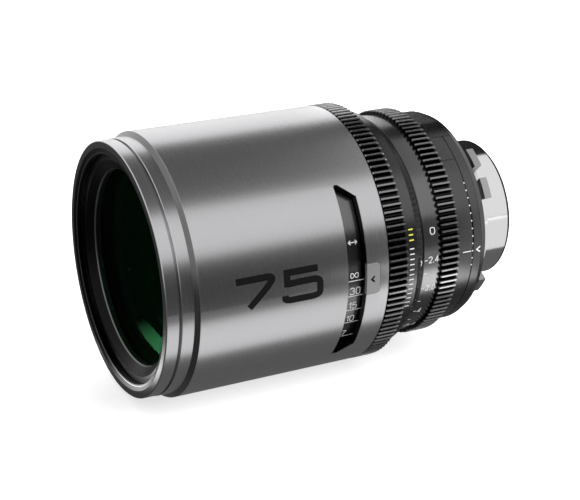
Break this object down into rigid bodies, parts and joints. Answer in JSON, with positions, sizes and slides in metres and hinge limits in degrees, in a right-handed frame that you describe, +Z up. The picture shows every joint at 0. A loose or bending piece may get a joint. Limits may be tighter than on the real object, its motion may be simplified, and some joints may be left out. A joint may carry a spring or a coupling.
{
  "type": "cinema prime lens",
  "caption": "Cinema prime lens with geared focus and iris rings, a distance window, a back-focus ring and a four-tab camera mount.",
  "frame": {"origin": "centre of the mount's seat face, on the optical axis", "axes": "+Y along the optical axis towards the camera, -Y towards the scene, +Z up through the middle of the top cover, +X towards the side with the distance window and the focus index"},
  "size_m": [0.0992, 0.1543, 0.0992],
  "materials": {
    "silver_anodised": "fine satin silver anodising with faint turning marks",
    "black_anodised": "fine-grained satin black anodising",
    "gear_black": "black anodised teeth with worn brighter tips",
    "scale_black": "black anodised band with engraved and filled numbers",
    "matte_black": "matte black paint against stray light",
    "mount_steel": "polished stainless steel",
    "screw_steel": "plain machined steel",
    "black_screws": "blackened steel",
    "brass": "turned brass",
    "bronze": "turned bearing bronze",
    "coated_glass": "polished glass with a green anti-reflection coating",
    "clear_glass": "polished glass",
    "blade_black": "thin blackened spring steel",
    "white_marks": "white enamel in cut lines and numbers",
    "yellow_marks": "yellow enamel in cut lines",
    "black_marks": "black enamel in cut lines and numbers"
  },
  "bodies": {
    "lens_body": {"front_ring": "silver_anodised", "front_bezel": "silver_anodised", "front_barrel": "silver_anodised", "index_plate": "silver_anodised", "barrel_screws": "screw_steel", "front_retainer": "black_anodised", "front_element": "coated_glass", "front_cell": "matte_black", "cylinder_element_front": "clear_glass", "cylinder_spacer": "matte_black", "cylinder_element_rear": "clear_glass", "cylinder_retainer": "matte_black", "main_tube": "matte_black", "focus_stop_ring": "brass", "rear_collar": "black_anodised", "prime_cell": "matte_black", "prime_element_front": "clear_glass", "prime_element_rear": "clear_glass", "prime_retainers": "matte_black", "rear_body": "matte_black", "iris_base": "matte_black", "iris_cover": "matte_black", "top_cover": "black_anodised", "rear_ring": "black_anodised", "mount_base": "black_anodised", "mount_shim": "screw_steel", "lens_mount": "mount_steel", "mount_screws": "screw_steel"},
    "focus_ring": {"focus_gear_ring": "gear_black", "focus_scale_ring": "scale_black", "focus_cam_sleeve": "bronze", "focus_drive_screws": "black_screws", "focus_stop_pin": "screw_steel"},
    "focus_group": {"focus_cell": "matte_black", "focus_element_front": "clear_glass", "focus_element_rear": "clear_glass", "focus_retainers": "matte_black", "focus_rollers": "brass"},
    "iris_ring": {"iris_scale_ring": "scale_black", "iris_gear_ring": "gear_black", "iris_drive_key": "screw_steel", "iris_rotor": "matte_black"},
    "back_focus": {"back_focus_ring": "black_anodised"},
    "rear_group": {"rear_cell": "matte_black", "rear_doublet": "clear_glass", "rear_element": "coated_glass", "rear_retainers": "matte_black", "rear_rollers": "brass"},
    "iris_blade_01": {"iris_blade_01": "blade_black"},
    "iris_blade_02": {"iris_blade_02": "blade_black"},
    "iris_blade_03": {"iris_blade_03": "blade_black"},
    "iris_blade_04": {"iris_blade_04": "blade_black"},
    "iris_blade_05": {"iris_blade_05": "blade_black"},
    "iris_blade_06": {"iris_blade_06": "blade_black"},
    "iris_blade_07": {"iris_blade_07": "blade_black"},
    "iris_blade_08": {"iris_blade_08": "blade_black"},
    "iris_blade_09": {"iris_blade_09": "blade_black"},
    "iris_blade_10": {"iris_blade_10": "blade_black"},
    "iris_blade_11": {"iris_blade_11": "blade_black"},
    "iris_blade_12": {"iris_blade_12": "blade_black"}
  },
  "joints": [
    {"name": "focus_turn", "type": "hinge", "parent": "lens_body", "child": "focus_ring", "pos_m": [0, 0, 0], "axis": [0, -1, 0], "range_deg": [0, 268]},
    {"name": "focus_slide", "type": "slide", "parent": "lens_body", "child": "focus_group", "axis": [0, -1, 0], "range_m": [0, 0.01341]},
    {"name": "iris_turn", "type": "hinge", "parent": "lens_body", "child": "iris_ring", "pos_m": [0, 0, 0], "axis": [0, -1, 0], "range_deg": [0, 105]},
    {"name": "back_focus_turn", "type": "hinge", "parent": "lens_body", "child": "back_focus", "pos_m": [0, 0, 0], "axis": [0, -1, 0], "range_deg": [-40.05, 0]},
    {"name": "rear_slide", "type": "slide", "parent": "lens_body", "child": "rear_group", "axis": [0, 1, 0], "range_m": [0, 0.0005]},
    {"name": "iris_blade_01_swing", "type": "hinge", "parent": "lens_body", "child": "iris_blade_01", "pos_m": [0.0295, -0.034, 0], "axis": [0, -1, 0], "range_deg": [0, 33.54]},
    {"name": "iris_blade_02_swing", "type": "hinge", "parent": "lens_body", "child": "iris_blade_02", "pos_m": [0.02555, -0.034, 0.01475], "axis": [0, -1, 0], "range_deg": [0, 33.54]},
    {"name": "iris_blade_03_swing", "type": "hinge", "parent": "lens_body", "child": "iris_blade_03", "pos_m": [0.01475, -0.034, 0.02555], "axis": [0, -1, 0], "range_deg": [0, 33.54]},
    {"name": "iris_blade_04_swing", "type": "hinge", "parent": "lens_body", "child": "iris_blade_04", "pos_m": [0, -0.034, 0.0295], "axis": [0, -1, 0], "range_deg": [0, 33.54]},
    {"name": "iris_blade_05_swing", "type": "hinge", "parent": "lens_body", "child": "iris_blade_05", "pos_m": [-0.01475, -0.034, 0.02555], "axis": [0, -1, 0], "range_deg": [0, 33.54]},
    {"name": "iris_blade_06_swing", "type": "hinge", "parent": "lens_body", "child": "iris_blade_06", "pos_m": [-0.02555, -0.034, 0.01475], "axis": [0, -1, 0], "range_deg": [0, 33.54]},
    {"name": "iris_blade_07_swing", "type": "hinge", "parent": "lens_body", "child": "iris_blade_07", "pos_m": [-0.0295, -0.034, 0], "axis": [0, -1, 0], "range_deg": [0, 33.54]},
    {"name": "iris_blade_08_swing", "type": "hinge", "parent": "lens_body", "child": "iris_blade_08", "pos_m": [-0.02555, -0.034, -0.01475], "axis": [0, -1, 0], "range_deg": [0, 33.54]},
    {"name": "iris_blade_09_swing", "type": "hinge", "parent": "lens_body", "child": "iris_blade_09", "pos_m": [-0.01475, -0.034, -0.02555], "axis": [0, -1, 0], "range_deg": [0, 33.54]},
    {"name": "iris_blade_10_swing", "type": "hinge", "parent": "lens_body", "child": "iris_blade_10", "pos_m": [0, -0.034, -0.0295], "axis": [0, -1, 0], "range_deg": [0, 33.54]},
    {"name": "iris_blade_11_swing", "type": "hinge", "parent": "lens_body", "child": "iris_blade_11", "pos_m": [0.01475, -0.034, -0.02555], "axis": [0, -1, 0], "range_deg": [0, 33.54]},
    {"name": "iris_blade_12_swing", "type": "hinge", "parent": "lens_body", "child": "iris_blade_12", "pos_m": [0.02555, -0.034, -0.01475], "axis": [0, -1, 0], "range_deg": [0, 33.54]}
  ],
  "couplings": [
    {"joint": "focus_slide", "follows": "focus_turn", "m_per_rad": 0.0028648},
    {"joint": "back_focus_turn", "follows": "rear_slide", "rad_per_m": -1396.3},
    {"joint": "iris_blade_01_swing", "follows": "iris_turn", "ratio": 0.31898},
    {"joint": "iris_blade_02_swing", "follows": "iris_turn", "ratio": 0.31898},
    {"joint": "iris_blade_03_swing", "follows": "iris_turn", "ratio": 0.31898},
    {"joint": "iris_blade_04_swing", "follows": "iris_turn", "ratio": 0.31898},
    {"joint": "iris_blade_05_swing", "follows": "iris_turn", "ratio": 0.31898},
    {"joint": "iris_blade_06_swing", "follows": "iris_turn", "ratio": 0.31898},
    {"joint": "iris_blade_07_swing", "follows": "iris_turn", "ratio": 0.31898},
    {"joint": "iris_blade_08_swing", "follows": "iris_turn", "ratio": 0.31898},
    {"joint": "iris_blade_09_swing", "follows": "iris_turn", "ratio": 0.31898},
    {"joint": "iris_blade_10_swing", "follows": "iris_turn", "ratio": 0.31898},
    {"joint": "iris_blade_11_swing", "follows": "iris_turn", "ratio": 0.31898},
    {"joint": "iris_blade_12_swing", "follows": "iris_turn", "ratio": 0.31898}
  ]
}
